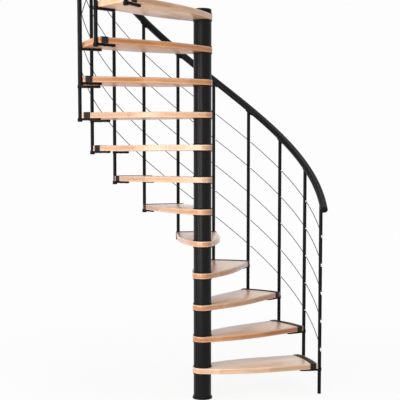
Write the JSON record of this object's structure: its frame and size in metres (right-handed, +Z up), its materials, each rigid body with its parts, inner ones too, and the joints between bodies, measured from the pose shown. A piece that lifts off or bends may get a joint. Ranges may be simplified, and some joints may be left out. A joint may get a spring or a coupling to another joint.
{
  "type": "spiral staircase",
  "caption": "Spiral staircase with wooden treads round a black steel column, tubular balusters, a round handrail and taut wire infill.",
  "frame": {"origin": "on the column's axis at floor level, on the underside of the base plate", "axes": "+Z up along the column, +X through the first baluster; the stair climbs counter-clockwise seen from above"},
  "size_m": [1.6498, 1.5139, 3.9523],
  "materials": {
    "black_steel": "satin powder coat",
    "pole_steel": "galvanised",
    "black_plastic": "satin",
    "beech": "clear lacquer",
    "strip_rubber": "matte",
    "rail_plastic": "satin",
    "wire_steel": "stranded stainless",
    "stop_steel": "turned stainless"
  },
  "bodies": {
    "root": {"base_plate": "black_steel", "column_spacers": "black_steel", "centre_pole": "pole_steel", "column_cap": "black_plastic", "tread_1": "beech", "tread_2": "beech", "tread_3": "beech", "tread_4": "beech", "tread_5": "beech", "tread_6": "beech", "tread_7": "beech", "tread_8": "beech", "tread_9": "beech", "tread_10": "beech", "tread_11": "beech", "tread_12": "beech", "tread_strips": "strip_rubber", "front_brackets": "black_steel", "rear_brackets": "black_steel", "baluster_0": "black_steel", "baluster_1": "black_steel", "baluster_2": "black_steel", "baluster_3": "black_steel", "baluster_4": "black_steel", "baluster_5": "black_steel", "baluster_6": "black_steel", "baluster_7": "black_steel", "baluster_8": "black_steel", "baluster_9": "black_steel", "baluster_10": "black_steel", "baluster_11": "black_steel", "baluster_12": "black_steel", "rail_saddles": "black_steel", "handrail": "rail_plastic", "rail_end_caps": "black_plastic", "wire_1": "wire_steel", "wire_2": "wire_steel", "wire_3": "wire_steel", "wire_4": "wire_steel", "wire_5": "wire_steel", "wire_end_stops": "stop_steel"}
  },
  "joints": []
}
